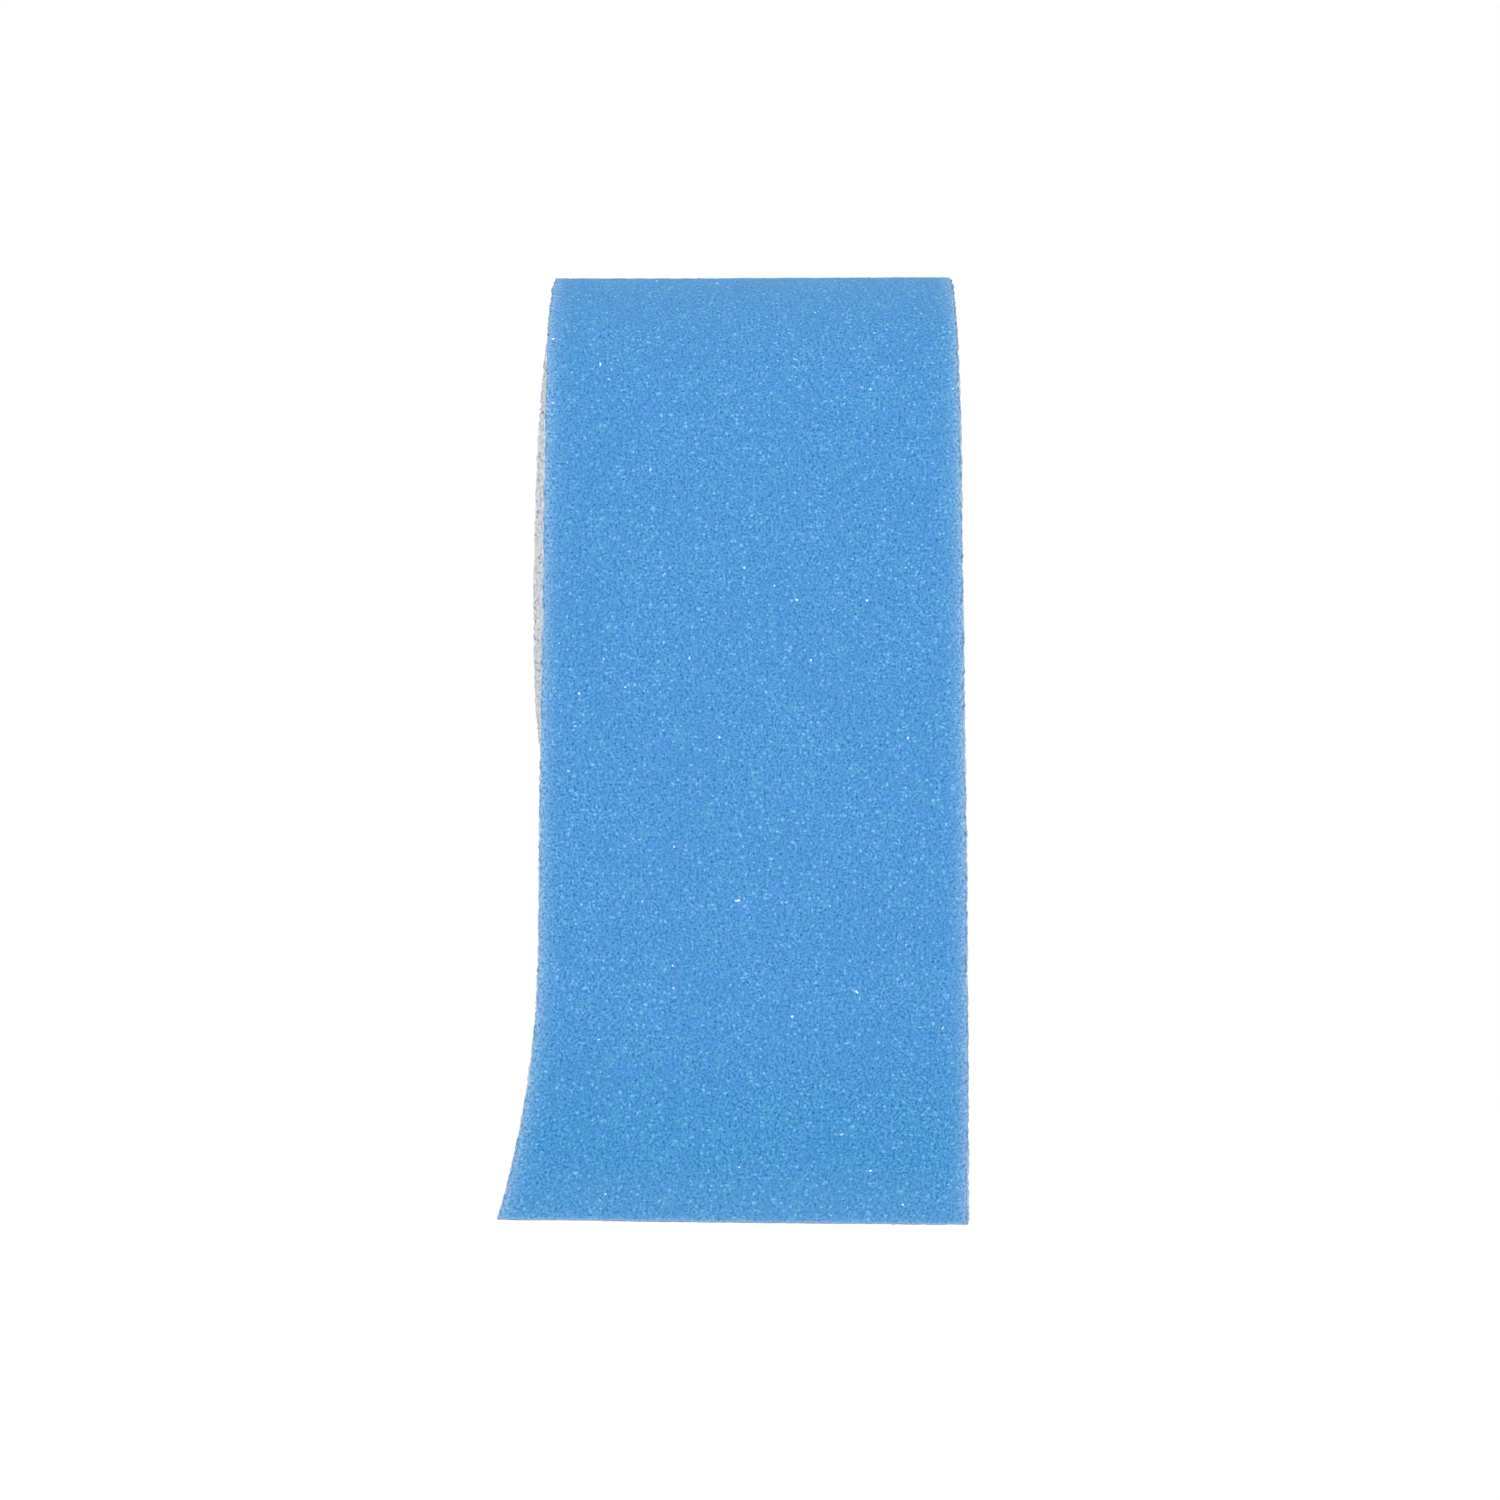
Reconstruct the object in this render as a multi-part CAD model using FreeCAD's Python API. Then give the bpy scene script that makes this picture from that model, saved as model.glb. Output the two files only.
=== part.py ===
import FreeCAD, Part

import math
import os

# A roll of grip tape for a racket handle, wound on itself with no core, whose free end
# hangs down in front of it. The tape is two bonded layers: a grained grip face on the
# outside of the roll and a thin backing cloth on the inside.
#
# X runs along the roll's axis, Y from front to rear and Z up. The origin is the centre of
# the eye, the hole through the roll. Angles turn about X from the rear: 0 is the rear of
# the roll, 90 its top, 180 its front and 270 its underside. The tape winds outwards that way.

# Driving dimensions, in millimetres and degrees
TAPE_WIDTH = 29.0
FACE_THICKNESS = 0.45
BACKING_THICKNESS = 0.15
WRAP_GAP = 0.12  # air between one tight wrap and the next
EYE_RADIUS = 6.9
WRAP_GROUPS = ("core_wraps", "inner_wraps", "middle_wraps", "outer_wraps")
WRAPS_PER_GROUP = 3

LOOSE_RADIUS = 16.15  # the loose outermost wrap's inner surface, over the top of the roll
LOOSE_SAG = 3.0  # how far the loose wrap hangs below where it would fit tight
SKEW_ANGLE = 8.2  # the loose wrap runs aside by this much behind the roll
SKEW_STARTS = -2.0  # distance behind the axis at which its edges turn aside
SKEW_BEND_RADIUS = 20.0
SKEW_TILT = 10.0  # the skewed stretch lies this far below the level of the axis

LEAN = 13.0  # the free end leaves the roll this far above its front, leaning as much outwards
TAIL_LENGTH = 22.0  # straight stretch of the free end, down to where its tip bends
END_LEVEL = -50.15  # the cut end's lowest corner
END_SLANT = 0.35  # the left corner of the cut end is this much higher
FLARE_WIDTH = 2.7  # the left edge sweeps out this far at the cut end
FLARE_HEIGHT = 18.5
FOLD_GAP = 0.4  # the tape's bends are hinges, with this much room between their two sides

STICKER_WIDTH = 26.0  # adhesive strip that starts the tape on a handle, and its paper
ADHESIVE_THICKNESS = 0.1
PAPER_THICKNESS = 0.1
PAPER_TAB_ANGLE = 25.0  # the paper's pull tab reaches this far past the tape's inner end

# Worked out from them
TAPE_THICKNESS = BACKING_THICKNESS + FACE_THICKNESS
PITCH = TAPE_THICKNESS + WRAP_GAP
HALF_TURNS_PER_GROUP = 2 * WRAPS_PER_GROUP
LAST_HALF_TURN = HALF_TURNS_PER_GROUP * len(WRAP_GROUPS) - 1
REACH = 60.0  # anything longer than the roll and its free end, for cutting outlines


def along(start, angle, distance):
    """The point that lies at an angle and a distance from a start, square to the axis."""
    turn = math.radians(angle)
    return start + FreeCAD.Vector(0, distance * math.cos(turn), distance * math.sin(turn))


def arc_run(centre, radius, start, end):
    """A round stretch of tape, as a function that gives its line at any offset outwards."""

    def line_at(offset):
        stops = (start, (start + end) / 2, end)
        return Part.Arc(*[along(centre, stop, radius + offset) for stop in stops]).toShape()

    return line_at


def straight_run(start, heading, length):
    """A straight stretch of tape, as a function that gives its line at any offset outwards."""

    def line_at(offset):
        first = along(start, heading - 90, offset)
        return Part.makeLine(first, along(first, heading, length))

    return line_at


def layer(runs, inner, outer, width):
    """The solid between two offsets from the tape's inner surface, centred on the roll."""
    low = [run(inner) for run in runs]
    high = [run(outer) for run in runs]
    first_cap = Part.makeLine(*[edges[0].valueAt(edges[0].FirstParameter) for edges in (low, high)])
    last_cap = Part.makeLine(*[edges[-1].valueAt(edges[-1].LastParameter) for edges in (low, high)])
    outline = low + [last_cap] + high + [first_cap]
    section = Part.Face(Part.Wire(Part.__sortEdges__(outline)))
    section.translate(FreeCAD.Vector(-width / 2, 0, 0))
    return section.extrude(FreeCAD.Vector(width, 0, 0))


def half_turn(index):
    """Half a tight wrap: even ones pass under the eye, odd ones over it to the front.

    Their centres step to and fro by a quarter of the pitch, so that each runs on smoothly
    from the one before it.
    """
    over = index % 2 == 1
    centre = FreeCAD.Vector(0, -PITCH / 4 if over else PITCH / 4, 0)
    start = 0 if over else 180
    return arc_run(centre, EYE_RADIUS + index * PITCH / 2, start, start + 180)


def group_runs(number):
    """One group of tight wraps, counted from the eye outwards."""
    first = number * HALF_TURNS_PER_GROUP
    return [half_turn(index) for index in range(first, first + HALF_TURNS_PER_GROUP)]


def loose_runs():
    """The outermost wrap: it hangs slack under the roll and lies on it over the top."""
    front = PITCH / 4 + EYE_RADIUS + LAST_HALF_TURN * PITCH / 2
    under_radius = (front + LOOSE_RADIUS) / 2
    under_centre = FreeCAD.Vector(0, LOOSE_RADIUS - under_radius, -LOOSE_SAG)
    return [
        straight_run(FreeCAD.Vector(0, -front, 0), 270, LOOSE_SAG),
        arc_run(under_centre, under_radius, 180, 360),
        straight_run(FreeCAD.Vector(0, LOOSE_RADIUS, -LOOSE_SAG), 90, LOOSE_SAG),
        arc_run(FreeCAD.Vector(0, 0, 0), LOOSE_RADIUS, 0, 180 - LEAN),
    ]


def tail_start():
    return along(FreeCAD.Vector(0, 0, 0), 180 - LEAN, LOOSE_RADIUS)


def tail_runs():
    """The straight stretch of the free end, from just past where it leaves the roll."""
    heading = 270 - LEAN
    first = along(tail_start(), heading, FOLD_GAP)
    return [straight_run(first, heading, TAIL_LENGTH - FOLD_GAP)]


def tip_runs():
    """The rest of the free end, which curves until it hangs straight down at its cut end."""
    bend = along(tail_start(), 270 - LEAN, TAIL_LENGTH)
    radius = (bend.z - END_LEVEL) / math.sin(math.radians(LEAN))
    centre = along(bend, -LEAN, radius)
    gap_angle = math.degrees(FOLD_GAP / radius)
    return [arc_run(centre, radius, 180 - LEAN + gap_angle, 180)]


def skewed_outline():
    """The loose wrap seen square to its skew: both edges turn aside together behind it."""
    slope = math.radians(SKEW_ANGLE)
    tangent = SKEW_BEND_RADIUS * math.tan(slope / 2)
    aside = math.tan(slope) * (REACH - SKEW_STARTS)

    def edge_line(x):
        centre = FreeCAD.Vector(x - SKEW_BEND_RADIUS, SKEW_STARTS - tangent, 0)
        bend = []
        for turn in (0, slope / 2, slope):
            spoke = FreeCAD.Vector(math.cos(turn), math.sin(turn), 0)
            bend.append(centre + spoke * SKEW_BEND_RADIUS)
        start = FreeCAD.Vector(x, -REACH, 0)
        end = FreeCAD.Vector(x - aside, REACH, 0)
        return [Part.makeLine(start, bend[0]), Part.Arc(*bend).toShape(), Part.makeLine(bend[2], end)]

    def end_line(x, y):
        start = FreeCAD.Vector(x, y, 0)
        return Part.makeLine(start, start + FreeCAD.Vector(TAPE_WIDTH, 0, 0))

    left = -TAPE_WIDTH / 2
    edges = edge_line(left) + edge_line(-left) + [end_line(left, -REACH), end_line(left - aside, REACH)]
    outline = Part.Face(Part.Wire(Part.__sortEdges__(edges)))
    outline.translate(FreeCAD.Vector(0, 0, -REACH))
    block = outline.extrude(FreeCAD.Vector(0, 0, 2 * REACH))
    block.rotate(FreeCAD.Vector(0, 0, 0), FreeCAD.Vector(1, 0, 0), -SKEW_TILT)
    return block


def free_end_outline():
    """The free end seen from the front: straight edges, a flared left corner, a slanted cut."""
    radius = (FLARE_HEIGHT**2 + FLARE_WIDTH**2) / (2 * FLARE_WIDTH)
    left = -TAPE_WIDTH / 2
    left_level = END_LEVEL + END_SLANT
    centre = FreeCAD.Vector(left - radius, -REACH, left_level + FLARE_HEIGHT)
    sweep = math.asin(FLARE_HEIGHT / radius)
    flare = []
    for turn in (sweep, sweep / 2, 0):
        spoke = FreeCAD.Vector(math.cos(turn), 0, -math.sin(turn))
        flare.append(centre + spoke * radius)
    corners = [
        flare[2],
        FreeCAD.Vector(left, -REACH, REACH),
        FreeCAD.Vector(-left, -REACH, REACH),
        FreeCAD.Vector(-left, -REACH, END_LEVEL),
        flare[0],
    ]
    edges = [Part.makeLine(a, b) for a, b in zip(corners, corners[1:])]
    outline = Part.Face(Part.Wire(edges + [Part.Arc(*flare).toShape()]))
    return outline.extrude(FreeCAD.Vector(0, 2 * REACH, 0))


def tape_layers(name, runs, outline=None):
    """The backing cloth and the grip face of one stretch of tape, cut to its outline."""
    width = TAPE_WIDTH if outline is None else REACH
    layers = {
        name + "_backing_cloth": layer(runs, 0, BACKING_THICKNESS, width),
        name + "_grip_face": layer(runs, BACKING_THICKNESS, TAPE_THICKNESS, width),
    }
    if outline is not None:
        layers = {node: solid.common(outline) for node, solid in layers.items()}
    return layers


def starter_sticker():
    """The adhesive strip on the tape's inner end, and the release paper that covers it."""
    paper_centre = FreeCAD.Vector(0, PITCH / 4, 0)
    paper_run = arc_run(paper_centre, EYE_RADIUS, 180 - PAPER_TAB_ANGLE, 360)
    paper_offset = -ADHESIVE_THICKNESS - PAPER_THICKNESS
    return {
        "starter_adhesive": layer([half_turn(0)], -ADHESIVE_THICKNESS, 0, STICKER_WIDTH),
        "release_paper": layer([paper_run], paper_offset, -ADHESIVE_THICKNESS, STICKER_WIDTH),
    }


def single_solid(shape):
    """A cut leaves a compound: this is its one solid, with faces on one surface joined."""
    solids = shape.Solids
    if len(solids) != 1:
        raise ValueError("expected one solid, got %d" % len(solids))
    return solids[0].removeSplitter()


nodes = {}
for number, group in enumerate(WRAP_GROUPS):
    nodes.update(tape_layers(group, group_runs(number)))
nodes.update(tape_layers("loose_wrap", loose_runs(), skewed_outline()))
nodes.update(tape_layers("tail", tail_runs(), free_end_outline()))
nodes.update(tape_layers("tip", tip_runs(), free_end_outline()))
nodes.update(starter_sticker())

os.makedirs("parts", exist_ok=True)
for node, shape in nodes.items():
    solid = single_solid(shape)
    solid.exportStep("parts/%s.step" % node)
    print("%-26s volume %8.2f mm3, valid %s" % (node, solid.Volume, solid.isValid()))
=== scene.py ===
import math

import bpy
import numpy as np
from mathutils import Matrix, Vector


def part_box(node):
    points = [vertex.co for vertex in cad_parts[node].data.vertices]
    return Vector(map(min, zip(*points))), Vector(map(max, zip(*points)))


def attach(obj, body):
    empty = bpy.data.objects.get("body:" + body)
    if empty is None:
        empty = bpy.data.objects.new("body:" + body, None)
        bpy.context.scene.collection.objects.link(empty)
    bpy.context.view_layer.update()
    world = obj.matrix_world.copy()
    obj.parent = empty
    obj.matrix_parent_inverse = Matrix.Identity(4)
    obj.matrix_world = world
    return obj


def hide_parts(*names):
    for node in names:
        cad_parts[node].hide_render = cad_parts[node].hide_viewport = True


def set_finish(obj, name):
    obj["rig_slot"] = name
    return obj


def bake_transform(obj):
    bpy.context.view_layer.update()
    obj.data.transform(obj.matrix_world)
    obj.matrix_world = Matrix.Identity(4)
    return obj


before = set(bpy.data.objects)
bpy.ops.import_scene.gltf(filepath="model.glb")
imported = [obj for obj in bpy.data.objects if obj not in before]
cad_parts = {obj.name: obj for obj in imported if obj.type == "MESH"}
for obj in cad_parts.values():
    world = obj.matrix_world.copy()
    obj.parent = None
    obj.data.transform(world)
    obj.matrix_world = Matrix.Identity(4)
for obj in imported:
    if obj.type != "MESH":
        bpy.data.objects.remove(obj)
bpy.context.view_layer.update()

# The looks of a roll of grip tape, in metres. X runs along the roll's axis, Y from front to
# rear, Z up, and the origin is the centre of the roll's eye. Angles turn about X from the
# rear: 0 is the rear, 90 the top, 180 the front and 270 the underside.
#
# The tape is one strip, so its pieces are stretches of one path. The path starts at the eye,
# winds outwards, passes over the top of the roll and hangs down in front of it. A place on
# the tape is its distance along the path, its share of the width from left to right, and its
# offset outwards from the tape's inner surface.
MM = 0.001

# ---------------------------------------------------------------- sizes of the tape
BACKING_THICKNESS = 0.15 * MM
ADHESIVE_THICKNESS = 0.1 * MM
PAPER_THICKNESS = 0.1 * MM
PAPER_TAB_ANGLE = 25.0  # the paper's pull tab reaches this far past the tape's inner end
GROUPS = ("core_wraps", "inner_wraps", "middle_wraps", "outer_wraps")
WRAPS_PER_GROUP = 3
HALF_TURNS = 2 * WRAPS_PER_GROUP * len(GROUPS)

core_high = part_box("core_wraps_grip_face")[1]
outer_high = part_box("outer_wraps_grip_face")[1]
loose_low, loose_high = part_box("loose_wrap_grip_face")
tip_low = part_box("tip_grip_face")[0]
sticker_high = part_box("release_paper")[1]

TAPE_WIDTH = 2 * core_high.x
STICKER_WIDTH = 2 * sticker_high.x
TAPE_THICKNESS = BACKING_THICKNESS + loose_high.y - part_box("loose_wrap_backing_cloth")[1].y
PITCH = (outer_high.y - core_high.y) / (WRAPS_PER_GROUP * (len(GROUPS) - 1))
EYE_RADIUS = core_high.y - TAPE_THICKNESS - (WRAPS_PER_GROUP - 0.75) * PITCH
FRONT_OF_TIGHT_WRAPS = EYE_RADIUS + (HALF_TURNS - 0.5) * PITCH / 2

LOOSE_RADIUS = loose_high.y - TAPE_THICKNESS
UNDER_RADIUS = (FRONT_OF_TIGHT_WRAPS + LOOSE_RADIUS) / 2
LOOSE_SAG = -loose_low.z - TAPE_THICKNESS - UNDER_RADIUS
SKEW_ANGLE = 8.2  # the loose wrap runs aside by this much behind the roll
SKEW_STARTS = -2.0 * MM  # distance behind the axis at which its edges turn aside
SKEW_BEND_RADIUS = 20.0 * MM
SKEW_TILT = 10.0  # the skewed stretch lies this far below the level of the axis

LEAN = 13.0  # the free end leaves the roll this far above its front, leaning as much outwards
TAIL_LENGTH = 22.0 * MM  # straight stretch of the free end, down to where its tip bends
END_LEVEL = tip_low.z  # the cut end's lowest corner
END_SLANT = 0.35 * MM  # the left corner of the cut end is this much higher
FLARE_WIDTH = -tip_low.x - TAPE_WIDTH / 2  # the left edge sweeps out this far at the cut end
FLARE_HEIGHT = 18.5 * MM

PATH_STEP = 0.05 * MM
CROWN_ANGLE = 60.0  # the piece that passes over the top of the roll starts this far up its rear
SEAM_BELOW_ROLL = 12.0 * MM  # and it ends this far down the free end


# ---------------------------------------------------------------- the tape's path
def outwards(angle, size):
    """A step square to the roll's axis, as (y, z)."""
    turn = math.radians(angle)
    return np.array([math.cos(turn), math.sin(turn)]) * size


def arc_run(centre, radius, start, end):
    """Stations along a round stretch. Each is y, z and the angle that its outside faces."""
    count = math.ceil(math.radians(end - start) * radius / PATH_STEP)
    angles = np.linspace(start, end, count + 1)
    turns = np.radians(angles)
    y = centre[0] + radius * np.cos(turns)
    z = centre[1] + radius * np.sin(turns)
    return np.stack([y, z, angles], 1)


def straight_run(start, facing, length):
    """Stations along a straight stretch, whose outside faces one angle all the way."""
    share = np.linspace(0, 1, math.ceil(length / PATH_STEP) + 1)
    y, z = outwards(facing + 90, length)
    return np.stack([start[0] + share * y, start[1] + share * z, np.full(len(share), facing)], 1)


class Path:
    """The whole tape's path, and the distances along it at which its stretches begin."""

    def __init__(self):
        self.runs = []
        self.marks = {}

    def add(self, run):
        """Adds a run. The facing angle keeps growing from one turn of the roll to the next."""
        last = self.runs[-1][-1, 2] if self.runs else run[0, 2]
        self.runs.append(run + [0, 0, 360 * round((last - run[0, 2]) / 360)])

    def mark(self, name):
        """Names the place that the path has reached."""
        stations = np.concatenate(self.runs)
        self.marks[name] = np.hypot(*np.diff(stations[:, :2], axis=0).T).sum()

    def end(self):
        """The y and z of the path's end so far."""
        return self.runs[-1][-1, :2]

    def close(self):
        """Measures the path, with distance 0 where the tape itself starts."""
        self.stations = np.concatenate(self.runs)
        steps = np.hypot(*np.diff(self.stations[:, :2], axis=0).T)
        lead_in = self.marks["start"]
        self.distances = np.concatenate([[0], np.cumsum(steps)]) - lead_in
        self.marks = {name: distance - lead_in for name, distance in self.marks.items()}


def wind_tape():
    """The path from the paper's pull tab in the eye to the cut end in front of the roll."""
    path = Path()
    path.add(arc_run((PITCH / 4, 0), EYE_RADIUS, 180 - PAPER_TAB_ANGLE, 180))
    path.mark("start")
    for index in range(HALF_TURNS):
        over = index % 2 == 1
        centre_y = -PITCH / 4 if over else PITCH / 4
        start = 0 if over else 180
        path.add(arc_run((centre_y, 0), EYE_RADIUS + index * PITCH / 2, start, start + 180))
        path.mark("half_turn_%d" % (index + 1))
    path.add(straight_run(path.end(), 180, LOOSE_SAG))
    path.add(arc_run((LOOSE_RADIUS - UNDER_RADIUS, -LOOSE_SAG), UNDER_RADIUS, 180, 360))
    path.add(straight_run(path.end(), 0, LOOSE_SAG))
    path.add(arc_run((0, 0), LOOSE_RADIUS, 0, CROWN_ANGLE))
    path.mark("crown")
    path.add(arc_run((0, 0), LOOSE_RADIUS, CROWN_ANGLE, 180 - LEAN))
    path.mark("leaves_roll")
    path.add(straight_run(path.end(), 180 - LEAN, TAIL_LENGTH))
    bend = path.end()
    tip_radius = (bend[1] - END_LEVEL) / math.sin(math.radians(LEAN))
    path.add(arc_run(bend + outwards(-LEAN, tip_radius), tip_radius, 180 - LEAN, 180))
    path.mark("cut_end")
    path.close()
    return path


tape = wind_tape()
LEAVES_ROLL = tape.marks["leaves_roll"]
LOOSE_STARTS = tape.marks["half_turn_%d" % HALF_TURNS]
SEAM = LEAVES_ROLL + SEAM_BELOW_ROLL

# ---------------------------------------------------------------- small irregularities
LOOSENS_OVER = 8 * MM  # the tape goes from tight to loose over this length
FREES_OVER = 25 * MM  # and from lying on the roll to hanging free over this one
SIDE_WANDER = 0.16 * MM  # the wraps' edges aren't quite in line
SIDE_WANDER_LENGTH = 31 * MM
WANDER_SETTLES = 0.75  # the loose wrap and the free end wander less by this share
LOOSE_RIPPLE = 0.10 * MM  # how far the loose wrap waves in and out
LOOSE_RIPPLE_LENGTH = 17 * MM
LOOSE_RIPPLES_ACROSS = 1.3
FREE_END_RIPPLE = 0.14 * MM
FREE_END_RIPPLE_LENGTH = 13 * MM
FREE_END_RIPPLES_ACROSS = 1.6
OUT_OF_ROUND = 0.10 * MM  # how far the roll is dented
OUT_OF_ROUND_LENGTH = 9 * MM
OUT_OF_ROUND_SHEAR = 0.6  # its dents run at a slant across the tape
FULLNESS = 0.008  # the tight wraps are this much larger midway along the roll than at its sides
PAPER_TAB_LIFT = 0.7 * MM
CLOTH_MARGIN = 0.10 * MM  # the backing's fibres stand out past the cut edge of the grip face
EDGE_DEPTH = 0.12 * MM  # how far in from a cut edge its raggedness fades
FRAY_LOSS = 0.4  # a share of the fray's depth: grains are lost from the edge, not added
FRAYS = (  # the fine and the coarse fray: its length, its height, and how deep it goes
    (0.18 * MM, 0.2 * MM, 0.8),
    (0.8 * MM, 0.5 * MM, 0.4),
)
SIDES_DIFFER = 40  # one side's fray is read this many heights away from the other's
END_FRAY = 0.05 * MM
END_FRAY_SIZE = 0.2 * MM
EDGE_WEAR = 0.40 * MM  # the grip face is worn pale at its edges, and less so further in


def field(x, y, seed):
    """Smooth random values from -1 to 1 that change over cells one unit across."""
    x, y = np.broadcast_arrays(np.asarray(x, float), np.asarray(y, float))
    column, row = np.floor(x), np.floor(y)
    in_x, in_y = x - column, y - row
    in_x = in_x * in_x * (3 - 2 * in_x)
    in_y = in_y * in_y * (3 - 2 * in_y)

    def corner(i, j):
        """The value at a cell's corner, from a 32-bit hash of the corner's place and the seed."""
        low_bits = 0xFFFFFFFF
        mixed = i.astype(np.int64) * 374761393 + j.astype(np.int64) * 668265263 + seed * 97241
        for shift, factor in ((13, 1274126177), (15, 1103515245)):
            mixed = mixed & low_bits
            mixed = (mixed ^ (mixed >> shift)) * factor
        mixed = mixed & low_bits
        return (mixed ^ (mixed >> 16)) / (low_bits >> 1) - 1

    near = corner(column, row) * (1 - in_x) + corner(column + 1, row) * in_x
    far = corner(column, row + 1) * (1 - in_x) + corner(column + 1, row + 1) * in_x
    return near * (1 - in_y) + far * in_y


def smooth_step(value):
    """Rises smoothly from 0 to 1 as the value does, and stays there outside that range."""
    value = np.clip(value, 0, 1)
    return value * value * (3 - 2 * value)


def skew_shift(y, z):
    """How far the loose wrap has run aside, towards the left, at a place behind the roll."""
    tilt = math.radians(SKEW_TILT)
    slope = math.radians(SKEW_ANGLE)
    behind = y * math.cos(tilt) - z * math.sin(tilt)
    past = behind - SKEW_STARTS + SKEW_BEND_RADIUS * math.tan(slope / 2)
    bend_length = SKEW_BEND_RADIUS * math.sin(slope)
    on_bend = np.clip(past, 0, bend_length)
    shift = SKEW_BEND_RADIUS - np.sqrt(SKEW_BEND_RADIUS**2 - on_bend**2)
    return shift + np.maximum(past - bend_length, 0) * math.tan(slope)


def flare(z):
    """How far the free end's left edge sweeps out towards the cut."""
    radius = (FLARE_HEIGHT**2 + FLARE_WIDTH**2) / (2 * FLARE_WIDTH)
    below = np.clip(END_LEVEL + END_SLANT + FLARE_HEIGHT - z, 0, FLARE_HEIGHT)
    return radius - np.sqrt(radius**2 - below**2)


def tape_points(distance, share, offset):
    """Points of the tape in space."""
    y, z, facing = [np.interp(distance, tape.distances, tape.stations[:, i]) for i in range(3)]
    turn = np.radians(facing)
    is_free = distance > LEAVES_ROLL
    loose = smooth_step((distance - LOOSE_STARTS) / LOOSENS_OVER)
    free = smooth_step((distance - LEAVES_ROLL) / FREES_OVER)

    left = -TAPE_WIDTH / 2 - flare(z) * is_free
    x = left + (TAPE_WIDTH / 2 - left) * share
    x = x - skew_shift(y, z) * loose * ~is_free
    wander = field(distance / SIDE_WANDER_LENGTH, 0.5, seed=3) * SIDE_WANDER
    x = x + wander * (1 - WANDER_SETTLES * loose)

    ripple = field(distance / LOOSE_RIPPLE_LENGTH, share * LOOSE_RIPPLES_ACROSS, seed=5)
    loose_ripple = ripple * LOOSE_RIPPLE * loose * (1 - free)
    ripple = field(distance / FREE_END_RIPPLE_LENGTH, share * FREE_END_RIPPLES_ACROSS, seed=8)
    free_ripple = ripple * FREE_END_RIPPLE * free
    on_tab = np.clip(distance / tape.distances[0], 0, 1)
    offset = offset + loose_ripple + free_ripple - PAPER_TAB_LIFT * on_tab**2

    warp = OUT_OF_ROUND * (1 - free)
    cell_y = y / OUT_OF_ROUND_LENGTH
    cell_z = z / OUT_OF_ROUND_LENGTH
    warp_y = warp * field(cell_y + share, cell_z - OUT_OF_ROUND_SHEAR * share, seed=11)
    warp_z = warp * field(cell_y - OUT_OF_ROUND_SHEAR * share, cell_z + share, seed=977)
    fuller = 1 + FULLNESS * (1 - (2 * share - 1) ** 2) * (1 - loose)
    y = (y + offset * np.cos(turn)) * fuller + warp_y
    z = (z + offset * np.sin(turn)) * fuller + warp_z
    return np.stack([x, y, z], -1)


# ---------------------------------------------------------------- meshes
ALONG_STEP = 0.10 * MM  # between the rings of a stretch that shows its whole surface
ACROSS_STEP = 0.17 * MM
TIGHT_STEP = 0.30 * MM  # between the rings of the wraps that show only their edges
EDGE_BAND = 1.2 * MM  # how much of such a wrap shows at each edge
EDGE_BAND_STEP = 0.15 * MM
PLAIN_STEP = 3.5 * MM
SHARP_ANGLE = math.radians(60)
GRAIN_SLANT = (0.8, 0.6)  # cosine and sine of the angle at which the grain's cells lie askew
GRAIN_HEIGHTS = (0.7, 0.5)  # of the fine and the coarse grain, as shares of the relief
COARSE_GRAIN = 2.2  # the coarse grain's cells are this much larger


def even_steps(start, end, step):
    """Values from start to end in equal steps, no larger than the given one."""
    return np.linspace(start, end, math.ceil((end - start) / step) + 1)


def edge_columns():
    """Shares across a surface that shows only near its two edges, and is plain between them."""
    band = EDGE_BAND / TAPE_WIDTH
    near_edge = even_steps(0, band, EDGE_BAND_STEP / TAPE_WIDTH)
    middle = even_steps(band, 1 - band, PLAIN_STEP / TAPE_WIDTH)
    return np.concatenate([near_edge, middle[1:-1], 1 - near_edge[::-1]])


def shown_columns():
    """Shares across a surface that shows whole, close enough together for its grain."""
    return even_steps(0, 1, ACROSS_STEP / TAPE_WIDTH)


def ring_section(layer, outer_shares, inner_shares, width):
    """The share, the offset and the metres passed at each point of a ring around a layer.

    The ring runs over the outer surface from left to right, round the right edge, back over
    the inner surface, and round the left edge.
    """
    inner, outer = layer["offsets"]
    middle = (inner + outer) / 2
    share = np.concatenate([outer_shares, [1], inner_shares[::-1], [0]])
    offset = np.concatenate([np.full(len(outer_shares), outer), [middle]])
    offset = np.concatenate([offset, np.full(len(inner_shares), inner), [middle]])
    around = np.concatenate([[0], np.cumsum(np.hypot(np.diff(share) * width, np.diff(offset)))])
    around = np.append(around, around[-1] + outer - middle)
    return share, offset, around


def trimmed_for_cut(distances, uncut, share, offset, width):
    """Distances whose last ones are ragged and slanted: the left corner stops short."""
    frays = field(share * width / END_FRAY_SIZE, offset / END_FRAY_SIZE, seed=9)
    trim = END_SLANT * (1 - share) + END_FRAY * frays
    stretch = 1 - trim / (distances[-1] - distances[0])
    return distances[0] + (uncut - distances[0]) * stretch


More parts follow.
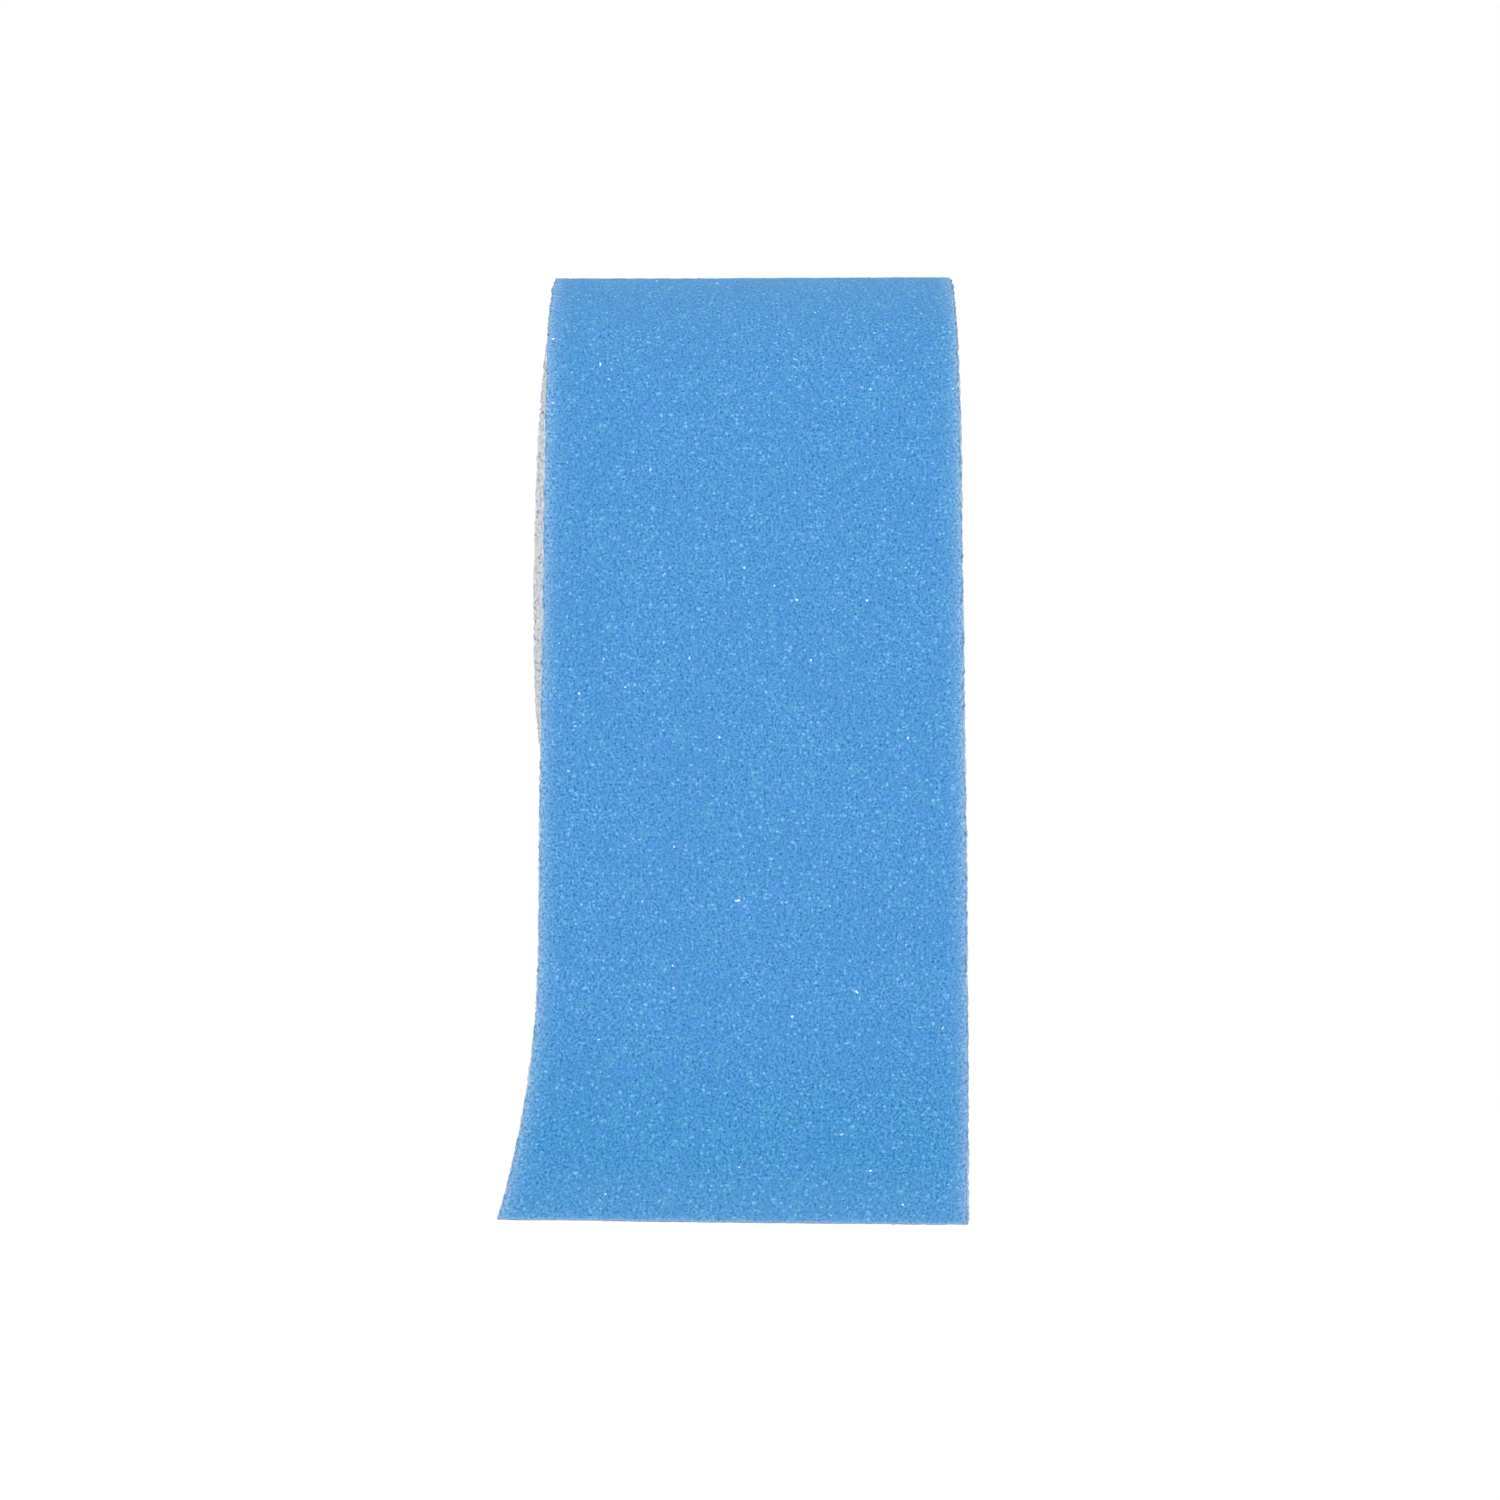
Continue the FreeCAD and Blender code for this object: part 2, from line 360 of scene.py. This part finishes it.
def frayed_sides(layer, along, share, offset, width):
    """How far the two edges of a layer stand out sideways, or fall short."""
    frays = 0.0
    for number, (length, height, depth) in enumerate(FRAYS):
        through = offset / height + SIDES_DIFFER * share
        frays = frays + depth * field(along / length, through, layer["seed"] + number)
    span = share * width
    to_edge = np.minimum(span, width - span)
    ragged = (frays - FRAY_LOSS) * layer["fray"] * np.exp(-to_edge / EDGE_DEPTH)
    inner, outer = layer["offsets"]
    bulge = np.where(offset == (inner + outer) / 2, layer["bulge"], 0)
    return (ragged + bulge) * np.where(share > 0.5, 1, -1)


def grain_relief(layer, along, span, offset):
    """How far the grain lifts the points of a layer's shown surface.

    Its cells lie askew, so that they don't line up with the tape's edges.
    """
    cosine, sine = GRAIN_SLANT
    askew = (cosine * along + sine * span) / layer["grain"]
    across = (cosine * span - sine * along) / layer["grain"]
    fine = field(askew, across, layer["seed"] + 2)
    coarse = field(across / COARSE_GRAIN, askew / COARSE_GRAIN, seed=77)
    height = GRAIN_HEIGHTS[0] * fine + GRAIN_HEIGHTS[1] * coarse
    inner, outer = layer["offsets"]
    shown = np.where(offset == layer["shown"], 1, 0) * np.sign(layer["shown"] - (inner + outer) / 2)
    return shown * height * layer["relief"]


def mesh_of_rings(name, points):
    """A closed mesh that joins each ring of points to the next, with a cap at each end."""
    rings, size = points.shape[:2]
    here = np.arange(rings - 1)[:, None] * size + np.arange(size)
    beside = np.arange(rings - 1)[:, None] * size + (np.arange(size) + 1) % size
    sides = np.stack([here, beside, beside + size, here + size], -1).reshape(-1, 4)
    first_cap = np.arange(size)[::-1]
    last_cap = np.arange(size) + (rings - 1) * size
    corners = np.concatenate([sides.ravel(), first_cap, last_cap])
    lengths = np.concatenate([np.full(len(sides), 4), [size, size]])

    mesh = bpy.data.meshes.new(name)
    mesh.vertices.add(rings * size)
    mesh.vertices.foreach_set("co", points.ravel().astype(np.float32))
    mesh.loops.add(len(corners))
    mesh.loops.foreach_set("vertex_index", corners.astype(np.int32))
    mesh.polygons.add(len(lengths))
    mesh.polygons.foreach_set("loop_start", (np.cumsum(lengths) - lengths).astype(np.int32))
    return mesh


def unroll(mesh, distances, around, span, depth):
    """The map "tape": metres along the strip, and metres around its section.

    The caps lie beyond the strip's two ends, as deep as their points are below its outside.
    """
    rings = np.broadcast_to(distances[:, None], (len(distances), len(span)))
    ring_u = np.stack([rings[:-1], rings[:-1], rings[1:], rings[1:]], -1)
    ring_v = np.stack([around[:-1], around[1:], around[1:], around[:-1]], -1)
    sides = np.stack([ring_u, np.broadcast_to(ring_v, ring_u.shape)], -1).reshape(-1, 2)
    first_cap = np.stack([distances[0] - depth, span], -1)[::-1]
    last_cap = np.stack([distances[-1] + depth, span], -1)
    places = np.concatenate([sides, first_cap, last_cap])
    mesh.uv_layers.new(name="tape").data.foreach_set("uv", places.ravel().astype(np.float32))


def strip(name, layer, distances, outer_shares, inner_shares, width, is_cut_end=False):
    """One layer of a stretch of tape as a closed mesh, made of rings around its section."""
    share, offset, around = ring_section(layer, outer_shares, inner_shares, width)
    span = share * width
    depth = layer["offsets"][1] - offset
    along = np.broadcast_to(distances[:, None], (len(distances), len(share)))
    if is_cut_end:
        along = trimmed_for_cut(distances, along, share, offset, width)
    sideways = frayed_sides(layer, along, share, offset, width)
    relief = grain_relief(layer, along, span, offset)
    placed_share = 0.5 + ((share - 0.5) * width + sideways) / TAPE_WIDTH

    mesh = mesh_of_rings(name, tape_points(along, placed_share, offset + relief))
    unroll(mesh, distances, around, span, depth)
    mesh.update(calc_edges=True)
    mesh.polygons.foreach_set("use_smooth", np.ones(len(mesh.polygons), bool))
    mesh.set_sharp_from_angle(angle=SHARP_ANGLE)
    mesh.materials.append(layer["material"])
    piece = bpy.data.objects.new(name, mesh)
    bpy.context.scene.collection.objects.link(piece)
    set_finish(piece, layer["slot"])
    return piece


# ---------------------------------------------------------------- materials
# Colours, as linear red, green and blue with alpha
BLUE_DEEP = (0.024, 0.171, 0.400, 1)
BLUE_LIGHT = (0.088, 0.296, 0.592, 1)
BLUE_MOTTLE = (0.044, 0.203, 0.475, 1)
BLUE_GREENISH = (0.070, 0.290, 0.480, 1)
BLUE_VIOLET = (0.075, 0.225, 0.580, 1)
BLUE_DARK = (0.002, 0.085, 0.240, 1)
BLUE_PALE = (0.240, 0.550, 0.870, 1)
BLUE_WORN = (0.325, 0.475, 0.610, 1)
# partly a duller grey, partly painted shade where the rounded cut edge turns away from the light
BLUE_RIM_SHADE = (0.185, 0.295, 0.455, 1)
BLUE_CUT_DEEP = (0.035, 0.150, 0.330, 1)
BLUE_CUT_PALE = (0.155, 0.370, 0.600, 1)
# painted glints: white specks that stand for light glinting off single grains
WHITE_GLINT = (0.900, 0.960, 1.000, 1)
CLOTH_WHITE = (0.785, 0.790, 0.815, 1)
CLOTH_SHADE = (0.555, 0.560, 0.575, 1)
CLOTH_YELLOWED = (0.710, 0.710, 0.660, 1)
CLOTH_PIT = (0.220, 0.230, 0.250, 1)
CLOTH_BLED = (0.380, 0.560, 0.730, 1)
GLUE_THICK = (0.620, 0.560, 0.400, 1)
GLUE_THIN = (0.740, 0.710, 0.600, 1)
PAPER_LIGHT = (0.800, 0.770, 0.690, 1)
PAPER_SHADE = (0.700, 0.660, 0.570, 1)


def shader_node(tree, kind, inputs=None, **settings):
    """A shader node, with each of its inputs set to a value or linked to a socket."""
    made = tree.nodes.new("ShaderNode" + kind)
    for name, value in settings.items():
        setattr(made, name, value)
    for name, value in (inputs or {}).items():
        if isinstance(value, bpy.types.NodeSocket):
            tree.links.new(value, made.inputs[name])
        else:
            made.inputs[name].default_value = value
    return made


def stepped(tree, value, low, high):
    """Rises smoothly from 0 at low to 1 at high; low may be the larger one."""
    if low > high:
        inputs = {"Value": value, "From Min": high, "From Max": low, "To Min": 1.0, "To Max": 0.0}
    else:
        inputs = {"Value": value, "From Min": low, "From Max": high}
    return shader_node(tree, "MapRange", inputs, interpolation_type="SMOOTHSTEP").outputs["Result"]


def mixed(tree, share, first, second, strength=1.0):
    """The first colour where the share is 0, and the second, at that strength, where it is 1."""
    share = calculated(tree, "MULTIPLY", share, strength)
    return shader_node(tree, "Mix", {0: share, 6: first, 7: second}, data_type="RGBA").outputs[2]


def noise(tree, place, size, detail=2.0):
    """Uneven patches of about one size, from 0 to 1."""
    inputs = {"Vector": place, "Scale": 1 / size, "Detail": detail, "Roughness": 0.6}
    return shader_node(tree, "TexNoise", inputs).outputs["Fac"]


def calculated(tree, operation, first, second=0.0):
    """The result of an operation on one value or two."""
    return shader_node(tree, "Math", {0: first, 1: second}, operation=operation).outputs[0]


def flecks(tree, place, cell, radius, share):
    """Uneven flecks: one in each cell, but only in a share of the cells.

    A coarser noise shifts the cells, so that the flecks don't lie in rows.
    """
    shift = shader_node(tree, "TexNoise", {"Vector": place, "Scale": 0.7 / cell}).outputs["Color"]
    inputs = {0: shift, 1: (1.5 * cell, 1.5 * cell, 0), 2: place}
    shifted = shader_node(tree, "VectorMath", inputs, operation="MULTIPLY_ADD").outputs[0]
    cells = shader_node(tree, "TexVoronoi", {"Vector": shifted, "Scale": 1 / cell})
    spot = stepped(tree, cells.outputs["Distance"], radius / cell, 0.4 * radius / cell)
    chance = shader_node(tree, "SeparateColor", {"Color": cells.outputs["Color"]}).outputs["Red"]
    inputs = {"Value": chance, "From Min": 1 - share}
    strength = shader_node(tree, "MapRange", inputs).outputs["Result"]
    return calculated(tree, "MULTIPLY", spot, calculated(tree, "POWER", strength, 2.0))


def new_material(name, roughness):
    """A material, and in its tree the surface shader and the unrolled tape's coordinates."""
    material = bpy.data.materials.new(name)
    material.use_nodes = True
    tree = material.node_tree
    shader = tree.nodes["Principled BSDF"]
    shader.inputs["Roughness"].default_value = roughness
    shader.inputs["Specular IOR Level"].default_value = 0.25
    return material, tree, shader, shader_node(tree, "UVMap", uv_map="tape").outputs["UV"]


def connect(tree, shader, colour, height, depth):
    """Gives the surface its colour, and bumps as deep as given where the height is 1."""
    tree.links.new(colour, shader.inputs["Base Color"])
    bump = shader_node(tree, "Bump", {"Height": height, "Distance": depth})
    tree.links.new(bump.outputs["Normal"], shader.inputs["Normal"])


def distances_from_edges(tree, place):
    """How far a place on the tape is from its start, its cut end and its nearer side."""
    spot = shader_node(tree, "SeparateXYZ", {"Vector": place}).outputs
    from_cut = calculated(tree, "SUBTRACT", tape.marks["cut_end"], spot["X"])
    off_middle = calculated(tree, "SUBTRACT", spot["Y"], TAPE_WIDTH / 2)
    from_middle = calculated(tree, "ABSOLUTE", off_middle)
    from_side = calculated(tree, "SUBTRACT", TAPE_WIDTH / 2, from_middle)
    return spot["X"], from_cut, from_side


def grained_blue(tree, place, grains, pores):
    """Light and dark grains in a mottled blue, with pale flecks and rare white specks that are
    painted glints off the grains.
    """
    colour = mixed(tree, stepped(tree, grains, 0.37, 0.63), BLUE_DEEP, BLUE_LIGHT)
    mottle = noise(tree, place, 1.4 * MM)
    colour = mixed(tree, stepped(tree, mottle, 0.3, 0.7), colour, BLUE_MOTTLE, 0.3)
    mottle = noise(tree, place, 6.0 * MM)
    colour = mixed(tree, stepped(tree, mottle, 0.35, 0.65), colour, BLUE_MOTTLE, 0.3)
    hue = noise(tree, place, 1.1 * MM)
    colour = mixed(tree, stepped(tree, hue, 0.54, 0.70), colour, BLUE_GREENISH, 0.42)
    colour = mixed(tree, stepped(tree, hue, 0.46, 0.30), colour, BLUE_VIOLET, 0.42)
    colour = mixed(tree, stepped(tree, pores, 0.46, 0.26), colour, BLUE_DARK)
    pale = flecks(tree, place, cell=0.27 * MM, radius=0.12 * MM, share=0.9)
    colour = mixed(tree, pale, colour, BLUE_PALE, 0.58)
    # painted glints: the white specks stand for light glinting off single grains
    white = flecks(tree, place, cell=0.6 * MM, radius=0.10 * MM, share=0.15)
    return mixed(tree, white, colour, WHITE_GLINT)


def edges_worn_and_shaded(tree, place, colour):
    """The face's colour with its edges: worn pale in patches, with a duller rim carrying painted
    shade, the foam bare on the cuts, and painted shade low on the free end.
    """
    from_start, from_cut, from_side = distances_from_edges(tree, place)

    # The free end is a little darker and deeper in colour below, painted shade where its hanging
    # lower part gets less light and sheen from above, and a little paler again by the cut.
    painted_shade_below = stepped(tree, from_cut, 16 * MM, 5 * MM)
    inputs = {"Hue": 0.497, "Saturation": 1.018, "Value": 0.955, "Fac": painted_shade_below, "Color": colour}
    colour = shader_node(tree, "HueSaturation", inputs).outputs["Color"]
    paler = stepped(tree, from_cut, 5 * MM, 1 * MM)
    colour = mixed(tree, paler, colour, BLUE_WORN, 0.04)

    # Wear reaches a third as far in from the cut as it does from the sides.
    from_cut_scaled = calculated(tree, "MULTIPLY", from_cut, 3.0)
    nearest = calculated(tree, "MINIMUM", from_side, from_cut_scaled)
    worn = calculated(tree, "EXPONENT", calculated(tree, "MULTIPLY", nearest, -1 / EDGE_WEAR))
    patchy = stepped(tree, noise(tree, place, 0.18 * MM), 0.36, 0.62)
    colour = mixed(tree, calculated(tree, "MULTIPLY", worn, patchy), colour, BLUE_WORN)

    # The rim is greyer and darker all round: a duller colour, with painted shade where the rounded
    # edge turns away from the light. Past it the map runs onto the cut faces, where the foam shows.
    from_end = calculated(tree, "MINIMUM", from_cut, from_start)
    from_any = calculated(tree, "MINIMUM", from_side, from_end)
    colour = mixed(tree, stepped(tree, from_any, 0.16 * MM, 0.04 * MM), colour, BLUE_RIM_SHADE, 0.8)
    foam = stepped(tree, noise(tree, place, 0.12 * MM, detail=3.0), 0.35, 0.62)
    foam = mixed(tree, foam, BLUE_CUT_DEEP, BLUE_CUT_PALE)
    on_cut = stepped(tree, from_any, 0.0, -0.03 * MM)
    return mixed(tree, on_cut, colour, foam)


def grip_face_material():
    """Dry and finely grained blue foam."""
    material, tree, shader, place = new_material("grip_face", 0.9)
    grains = noise(tree, place, 0.175 * MM)
    pores = noise(tree, place, 0.19 * MM)
    colour = edges_worn_and_shaded(tree, place, grained_blue(tree, place, grains, pores))
    connect(tree, shader, colour, calculated(tree, "ADD", grains, pores), 0.045 * MM)
    shader.inputs["Sheen Weight"].default_value = 0.08
    shader.inputs["Sheen Tint"].default_value = (0.56, 1.0, 0.77, 1)
    return material


def drawn_out(tree, place, scale):
    """Coordinates that draw a pattern out along the tape; a smaller scale draws it further."""
    inputs = {"Vector": place, "Scale": (scale, 1.0, 1.0)}
    return shader_node(tree, "Mapping", inputs).outputs["Vector"]


def backing_cloth_material():
    """White non-woven cloth: matted fibres, with grey pits and faintly yellowed patches."""
    material, tree, shader, place = new_material("backing_cloth", 0.95)
    fibres = noise(tree, drawn_out(tree, place, 0.35), 0.16 * MM, detail=4.0)
    pits = noise(tree, place, 0.30 * MM)
    patches = noise(tree, place, 0.9 * MM)
    colour = mixed(tree, stepped(tree, fibres, 0.38, 0.62), CLOTH_SHADE, CLOTH_WHITE)
    colour = mixed(tree, stepped(tree, patches, 0.5, 0.7), colour, CLOTH_YELLOWED)
    colour = mixed(tree, stepped(tree, pits, 0.46, 0.28), colour, CLOTH_PIT)

    # The face's dye has bled into the fibres that stand out past its cut edge.
    side = TAPE_WIDTH / 2 + CLOTH_MARGIN
    spot = shader_node(tree, "SeparateXYZ", {"Vector": place}).outputs
    off_middle = calculated(tree, "SUBTRACT", spot["Y"], side)
    from_middle = calculated(tree, "ABSOLUTE", off_middle)
    bled = stepped(tree, from_middle, side - 1.6 * CLOTH_MARGIN, side - CLOTH_MARGIN)
    not_inside = stepped(tree, from_middle, side + BACKING_THICKNESS, side)
    colour = mixed(tree, calculated(tree, "MULTIPLY", bled, not_inside), colour, CLOTH_BLED)
    connect(tree, shader, colour, calculated(tree, "ADD", fibres, pits), 0.05 * MM)
    return material


def adhesive_material():
    """A yellowish film of glue, thicker in some patches than in others."""
    material, tree, shader, place = new_material("starter_adhesive", 0.35)
    patches = noise(tree, place, 1.8 * MM, detail=3.0)
    colour = mixed(tree, stepped(tree, patches, 0.35, 0.7), GLUE_THICK, GLUE_THIN)
    connect(tree, shader, colour, patches, 0.03 * MM)
    return material


def release_paper_material():
    """Glazed paper with faint long fibres."""
    material, tree, shader, place = new_material("release_paper", 0.5)
    fibres = noise(tree, drawn_out(tree, place, 0.2), 0.25 * MM, detail=4.0)
    colour = mixed(tree, stepped(tree, fibres, 0.3, 0.7), PAPER_SHADE, PAPER_LIGHT)
    connect(tree, shader, colour, fibres, 0.01 * MM)
    return material


# ---------------------------------------------------------------- the layers and the pieces
# A layer's offsets are those of its inner and outer surface, and the one that shows its grain
# is named again. Its margin is how far it stands out past the tape's width at each side, its
# bulge and fray shape its cut edges, and its grain's cells and relief shape its surface.
GRIP_FACE = {
    "slot": "grip_face",
    "offsets": (BACKING_THICKNESS, TAPE_THICKNESS),
    "shown": TAPE_THICKNESS,
    "material": grip_face_material(),
    "margin": 0.0,
    "bulge": 0.03 * MM,
    "fray": 0.18 * MM,
    "grain": 0.24 * MM,
    "relief": 0.032 * MM,
    "seed": 21,
}
BACKING_CLOTH = {
    "slot": "backing_cloth",
    "offsets": (0.0, BACKING_THICKNESS),
    "shown": 0.0,
    "material": backing_cloth_material(),
    "margin": CLOTH_MARGIN,
    "bulge": 0.02 * MM,
    "fray": 0.08 * MM,
    "grain": 0.45 * MM,
    "relief": 0.008 * MM,
    "seed": 41,
}
ADHESIVE = {
    "slot": "adhesive",
    "offsets": (-ADHESIVE_THICKNESS, 0.0),
    "shown": -ADHESIVE_THICKNESS,
    "material": adhesive_material(),
    "margin": 0.0,
    "bulge": 0.01 * MM,
    "fray": 0.03 * MM,
    "grain": 0.8 * MM,
    "relief": 0.004 * MM,
    "seed": 61,
}
PAPER = {
    "slot": "release_paper",
    "offsets": (-ADHESIVE_THICKNESS - PAPER_THICKNESS, -ADHESIVE_THICKNESS),
    "shown": -ADHESIVE_THICKNESS - PAPER_THICKNESS,
    "material": release_paper_material(),
    "margin": 0.0,
    "bulge": 0.0,
    "fray": 0.0,
    "grain": 1.5 * MM,
    "relief": 0.006 * MM,
    "seed": 81,
}


def tape_stretch(name, start, end, fine, is_cut_end=False):
    """Both layers of a stretch of tape, its face and its cloth. A fine one shows its surface."""
    pieces = []
    for layer in (GRIP_FACE, BACKING_CLOTH):
        shown = shown_columns() if fine else edge_columns()
        hidden = edge_columns()
        outer, inner = (shown, hidden) if layer is GRIP_FACE else (hidden, shown)
        distances = even_steps(start, end, ALONG_STEP if fine else TIGHT_STEP)
        width = TAPE_WIDTH + 2 * layer["margin"]
        piece_name = name + "_" + layer["slot"]
        pieces.append(strip(piece_name, layer, distances, outer, inner, width, is_cut_end))
    return pieces


def tight_wraps():
    """The four groups of tight wraps, which ride on the coil."""
    start = 0.0
    for number, group in enumerate(GROUPS):
        end = tape.marks["half_turn_%d" % (2 * WRAPS_PER_GROUP * (number + 1))]
        for piece in tape_stretch("tight_" + group, start, end, fine=False):
            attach(piece, "coil")
            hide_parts(group + "_" + piece["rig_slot"])
        start = end


def loose_wrap():
    """The slack outermost wrap, from the front of the roll under it and up its rear."""
    end = tape.marks["crown"]
    for piece in tape_stretch("slack_wrap", LOOSE_STARTS, end, fine=True):
        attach(piece, "coil")
        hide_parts("loose_wrap_" + piece["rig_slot"])


def crown():
    """The stretch that lies over the top of the roll, with the first part of the free end."""
    start = tape.marks["crown"]
    for piece in tape_stretch("crown", start, SEAM, fine=True):
        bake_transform(piece)
        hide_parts("tail_" + piece["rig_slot"])


def free_end():
    """The rest of the free end, down to its cut."""
    end = tape.marks["cut_end"]
    for piece in tape_stretch("free_end", SEAM, end, fine=True, is_cut_end=True):
        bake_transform(piece)
        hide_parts("tip_" + piece["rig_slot"])


def starter_sticker():
    """The adhesive on the tape's inner end, and the paper over it with its lifted pull tab."""
    end = tape.marks["half_turn_1"]
    cloth = "tight_core_wraps_backing_cloth"
    columns = edge_columns()
    for name, layer, start, node, rests_on in (
        ("starter_adhesive_film", ADHESIVE, 0.0, "starter_adhesive", cloth),
        ("release_paper_strip", PAPER, tape.distances[0], "release_paper", "starter_adhesive_film"),
    ):
        distances = even_steps(start, end, TIGHT_STEP)
        piece = strip(name, layer, distances, columns, columns, STICKER_WIDTH)
        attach(piece, "coil")
        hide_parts(node)


tight_wraps()
loose_wrap()
crown()
free_end()
starter_sticker()


# ---------------------------------------------------------------- floor, light and camera
FLOOR_SIZE = 8.0
FLOOR_LEVEL = -0.25
LAMPS_AIM = Vector((0, 0, -0.02))
CAMERA_PLACE = (-0.2 * MM, -265.75 * MM, -18.15 * MM)  # about level with the tape's middle
CAMERA_LENS = 85.75  # focal length in millimetres
CAMERA_CLIP = 10 * MM


def pale_floor():
    """A white floor below the part."""
    bpy.ops.mesh.primitive_plane_add(size=FLOOR_SIZE, location=(0, 0, FLOOR_LEVEL))
    floor = bpy.context.object
    floor.name = "floor"
    pale = bpy.data.materials.new("pale_floor")
    pale.use_nodes = True
    shader = pale.node_tree.nodes["Principled BSDF"]
    shader.inputs["Base Color"].default_value = (1.0, 1.0, 1.0, 1)
    shader.inputs["Roughness"].default_value = 1.0
    floor.data.materials.append(pale)


def soft_lamp(name, place, size, watts):
    """A square lamp that shines on the part."""
    data = bpy.data.lights.new(name, "AREA")
    data.size = size
    data.energy = watts
    lamp = bpy.data.objects.new(name, data)
    bpy.context.scene.collection.objects.link(lamp)
    lamp.location = place
    lamp.rotation_euler = (LAMPS_AIM - Vector(place)).to_track_quat("-Z", "Y").to_euler()


def studio_light():
    """White light from all round, with two weak lamps in front."""
    world = bpy.data.worlds.new("studio")
    world.use_nodes = True
    world.node_tree.nodes["Background"].inputs["Color"].default_value = (1, 1, 1, 1)
    world.node_tree.nodes["Background"].inputs["Strength"].default_value = 1.0
    bpy.context.scene.world = world
    bpy.context.scene.view_settings.view_transform = "Standard"
    soft_lamp("key", place=(0.05, -0.65, 0.50), size=0.6, watts=2.7)
    soft_lamp("fill", place=(-0.6, -0.6, 0.1), size=0.6, watts=0.9)


def camera_in_front():
    """The camera looks at the free end square from the front."""
    data = bpy.data.cameras.new("camera")
    data.lens = CAMERA_LENS
    data.clip_start = CAMERA_CLIP
    camera = bpy.data.objects.new("camera", data)
    bpy.context.scene.collection.objects.link(camera)
    camera.location = CAMERA_PLACE
    camera.rotation_euler = (math.radians(90), 0, 0)
    bpy.context.scene.camera = camera


pale_floor()
studio_light()
camera_in_front()
